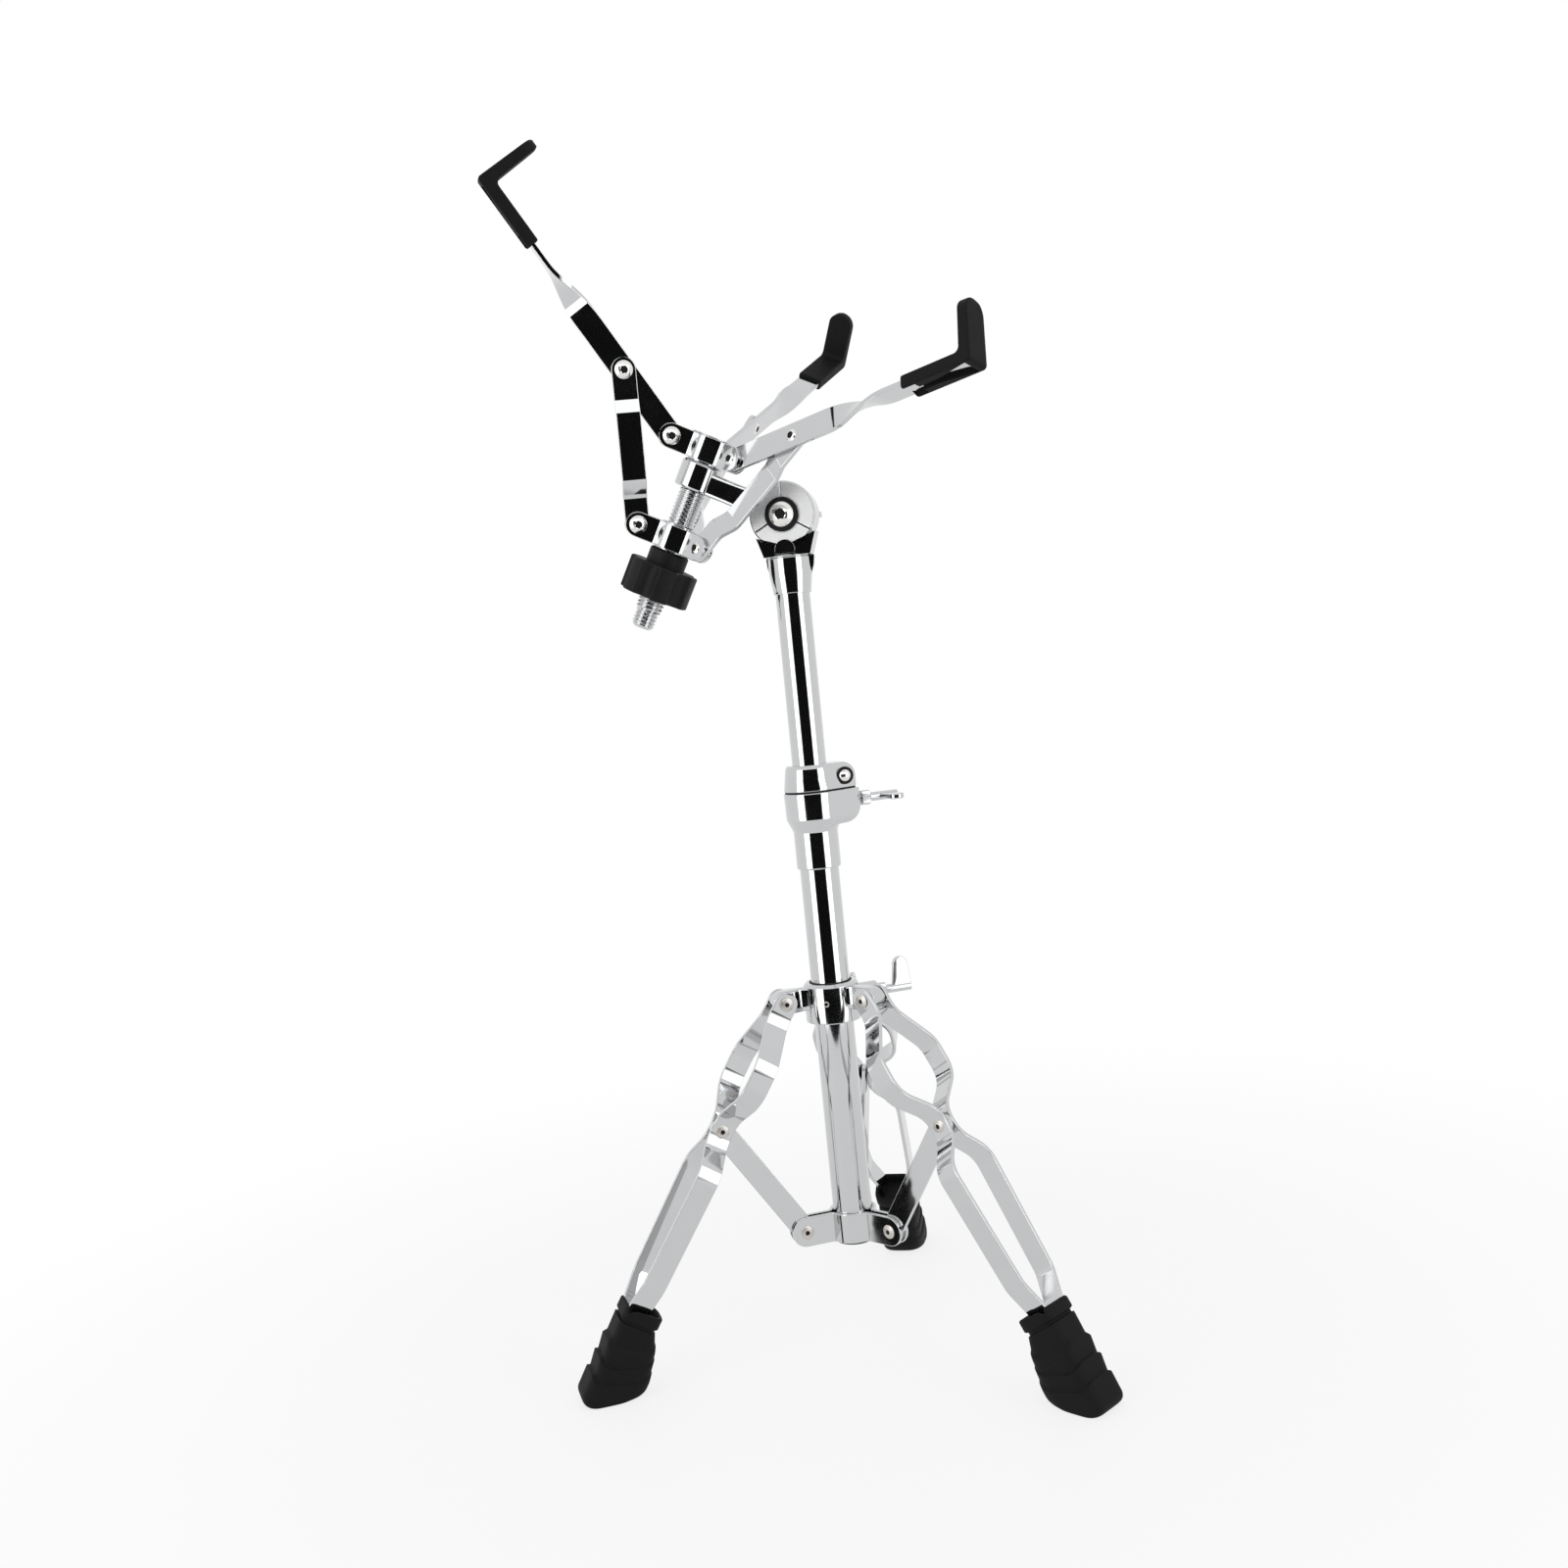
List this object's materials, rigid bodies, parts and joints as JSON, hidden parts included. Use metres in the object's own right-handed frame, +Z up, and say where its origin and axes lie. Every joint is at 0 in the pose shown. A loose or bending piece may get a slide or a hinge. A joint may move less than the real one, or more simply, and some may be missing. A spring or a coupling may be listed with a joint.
{
  "type": "snare drum stand",
  "caption": "Folding snare drum stand with a double-braced tripod, a telescoping column, a tilter and a clamping three-armed basket.",
  "frame": {"origin": "on the floor, under the axis of the column", "axes": "+Z up along the column; leg 1 points along -X, the other two at 60 degrees either side of +X"},
  "size_m": [0.3043, 0.3498, 0.7767],
  "materials": {
    "chrome": "polished chrome plate",
    "bright_steel": "nickel-plated turned steel",
    "black_rubber": "matt moulded rubber",
    "black_plastic": "moulded nylon, satin",
    "nylon": "natural nylon",
    "friction_fibre": "pressed fibre"
  },
  "bodies": {
    "column": {"main_tube": "chrome", "tube_plug": "black_plastic", "brace_collar_plates": "chrome", "brace_rivets": "bright_steel", "tube_clamp": "chrome", "clamp_bush": "nylon"},
    "clamp_screw": {"clamp_wing_screw": "chrome"},
    "memory_lock": {"memory_lock": "chrome", "memory_lock_bolt": "bright_steel"},
    "glide": {"glide_ring": "nylon"},
    "upper_column": {"upper_tube": "chrome", "tilter_ferrule": "chrome", "tilter_base": "chrome", "tilter_friction_disc": "friction_fibre", "tilter_washer": "black_plastic", "tilter_bolt": "bright_steel"},
    "tilter_nut": {"tilter_wing_nut": "chrome"},
    "basket": {"tilter_arm": "chrome", "threaded_rod": "bright_steel", "upper_hub_sleeve": "chrome", "upper_hub_plates": "chrome", "upper_hub_rivets": "bright_steel"},
    "lower_hub": {"lower_hub_sleeve": "chrome", "lower_hub_plates": "chrome", "lower_hub_rivets": "bright_steel"},
    "knob": {"knob": "black_plastic", "knob_insert": "bright_steel"},
    "leg_collar": {"leg_collar": "chrome", "leg_rivets": "bright_steel"},
    "leg_screw": {"leg_wing_screw": "chrome"},
    "arm_1": {"arm_1": "chrome", "arm_1_boot": "black_rubber", "arm_1_rivet": "bright_steel"},
    "link_1": {"link_1": "chrome"},
    "leg_1": {"leg_1_strap_left": "chrome", "leg_1_strap_right": "chrome", "leg_1_rivet": "bright_steel", "leg_1_foot_pin": "bright_steel", "foot_1": "black_rubber"},
    "brace_1": {"brace_1": "chrome"},
    "arm_2": {"arm_2": "chrome", "arm_2_boot": "black_rubber", "arm_2_rivet": "bright_steel"},
    "link_2": {"link_2": "chrome"},
    "leg_2": {"leg_2_strap_left": "chrome", "leg_2_strap_right": "chrome", "leg_2_rivet": "bright_steel", "leg_2_foot_pin": "bright_steel", "foot_2": "black_rubber"},
    "brace_2": {"brace_2": "chrome"},
    "arm_3": {"arm_3": "chrome", "arm_3_boot": "black_rubber", "arm_3_rivet": "bright_steel"},
    "link_3": {"link_3": "chrome"},
    "leg_3": {"leg_3_strap_left": "chrome", "leg_3_strap_right": "chrome", "leg_3_rivet": "bright_steel", "leg_3_foot_pin": "bright_steel", "foot_3": "black_rubber"},
    "brace_3": {"brace_3": "chrome"}
  },
  "joints": [
    {"name": "tripod_fold", "type": "hinge", "parent": "column", "child": "brace_1", "pos_m": [-0.0335, 0, 0.08], "axis": [0, 1, 0], "range_deg": [0, 30]},
    {"name": "leg_1_hinge", "type": "hinge", "parent": "brace_1", "child": "leg_1", "pos_m": [-0.08279, 0, 0.1559], "axis": [0, 1, 0], "range_deg": [-60, 0]},
    {"name": "leg_collar_hinge", "type": "hinge", "parent": "leg_1", "child": "leg_collar", "pos_m": [-0.0335, 0, 0.2318], "axis": [0, 1, 0], "range_deg": [0, 30]},
    {"name": "brace_2_hinge", "type": "hinge", "parent": "column", "child": "brace_2", "pos_m": [0.01675, -0.02901, 0.08], "axis": [-0.866, -0.5, 0], "range_deg": [0, 30]},
    {"name": "leg_2_hinge", "type": "hinge", "parent": "brace_2", "child": "leg_2", "pos_m": [0.04139, -0.0717, 0.1559], "axis": [-0.866, -0.5, 0], "range_deg": [-60, 0]},
    {"name": "brace_3_hinge", "type": "hinge", "parent": "column", "child": "brace_3", "pos_m": [0.01675, 0.02901, 0.08], "axis": [0.866, -0.5, 0], "range_deg": [0, 30]},
    {"name": "leg_3_hinge", "type": "hinge", "parent": "brace_3", "child": "leg_3", "pos_m": [0.04139, 0.0717, 0.1559], "axis": [0.866, -0.5, 0], "range_deg": [-60, 0]},
    {"name": "leg_screw_turn", "type": "hinge", "parent": "leg_collar", "child": "leg_screw", "pos_m": [0, 0, 0.2298], "axis": [1, 0, 0], "range_deg": [0, 720]},
    {"name": "clamp_screw_turn", "type": "hinge", "parent": "column", "child": "clamp_screw", "pos_m": [0, 0, 0.3574], "axis": [1, 0, 0], "range_deg": [0, 720]},
    {"name": "height_slide", "type": "slide", "parent": "column", "child": "glide", "axis": [0, 0, 1], "range_m": [-0.07, 0.09]},
    {"name": "column_swivel", "type": "hinge", "parent": "glide", "child": "upper_column", "pos_m": [0, 0, 0], "axis": [0, 0, 1], "continuous": true},
    {"name": "memory_lock_slide", "type": "slide", "parent": "column", "child": "memory_lock", "axis": [0, 0, 1], "range_m": [0, 0.036]},
    {"name": "basket_tilt", "type": "hinge", "parent": "upper_column", "child": "basket", "pos_m": [0, 0, 0.543], "axis": [0.4833, 0.8755, 0], "range_deg": [-27.9, 62.1]},
    {"name": "tilter_nut_turn", "type": "hinge", "parent": "upper_column", "child": "tilter_nut", "pos_m": [0, 0, 0.543], "axis": [0.4833, 0.8755, 0], "range_deg": [0, 720]},
    {"name": "lower_hub_slide", "type": "slide", "parent": "basket", "child": "lower_hub", "axis": [0.4097, -0.2261, 0.8838], "range_m": [-0.009, 0.0065]},
    {"name": "knob_turn", "type": "hinge", "parent": "lower_hub", "child": "knob", "pos_m": [-0.04836, 0.02669, 0.57225], "axis": [0.4097, -0.2261, 0.8838], "range_deg": [-1296.05, 936.05]},
    {"name": "arm_1_hinge", "type": "hinge", "parent": "basket", "child": "arm_1", "pos_m": [-0.06414, 0.02195, 0.60098], "axis": [0.0873, 0.9741, 0.2088], "range_deg": [-16.26, 11.76]},
    {"name": "link_1_hinge", "type": "hinge", "parent": "arm_1", "child": "link_1", "pos_m": [-0.09197, 0.01559, 0.64227], "axis": [-0.0873, -0.9741, -0.2088], "range_deg": [-11.52, 8.34]},
    {"name": "arm_2_hinge", "type": "hinge", "parent": "basket", "child": "arm_2", "pos_m": [-0.03017, 0.00001, 0.57962], "axis": [-0.83, -0.4943, 0.2583], "range_deg": [-16.26, 11.76]},
    {"name": "link_2_hinge", "type": "hinge", "parent": "arm_2", "child": "link_2", "pos_m": [-0.00318, -0.04176, 0.58643], "axis": [0.83, 0.4943, -0.2583], "range_deg": [-11.52, 8.34]},
    {"name": "arm_3_hinge", "type": "hinge", "parent": "basket", "child": "arm_3", "pos_m": [-0.02618, 0.04455, 0.58917], "axis": [0.7428, -0.4798, -0.4671], "range_deg": [-16.26, 11.76]},
    {"name": "link_3_hinge", "type": "hinge", "parent": "arm_3", "child": "link_3", "pos_m": [0.00726, 0.07468, 0.61139], "axis": [-0.7428, 0.4798, 0.4671], "range_deg": [-11.52, 8.34]}
  ],
  "couplings": [
    {"joint": "leg_1_hinge", "follows": "tripod_fold", "ratio": -2},
    {"joint": "leg_collar_hinge", "follows": "tripod_fold", "ratio": 1},
    {"joint": "brace_2_hinge", "follows": "tripod_fold", "ratio": 1},
    {"joint": "leg_2_hinge", "follows": "tripod_fold", "ratio": -2},
    {"joint": "brace_3_hinge", "follows": "tripod_fold", "ratio": 1},
    {"joint": "leg_3_hinge", "follows": "tripod_fold", "ratio": -2},
    {"joint": "knob_turn", "follows": "lower_hub_slide", "rad_per_m": 2513.3},
    {"joint": "arm_1_hinge", "follows": "lower_hub_slide", "rad_per_m": 31.438},
    {"joint": "link_1_hinge", "follows": "lower_hub_slide", "rad_per_m": 22.248},
    {"joint": "arm_2_hinge", "follows": "lower_hub_slide", "rad_per_m": 31.438},
    {"joint": "link_2_hinge", "follows": "lower_hub_slide", "rad_per_m": 22.248},
    {"joint": "arm_3_hinge", "follows": "lower_hub_slide", "rad_per_m": 31.438},
    {"joint": "link_3_hinge", "follows": "lower_hub_slide", "rad_per_m": 22.248}
  ]
}
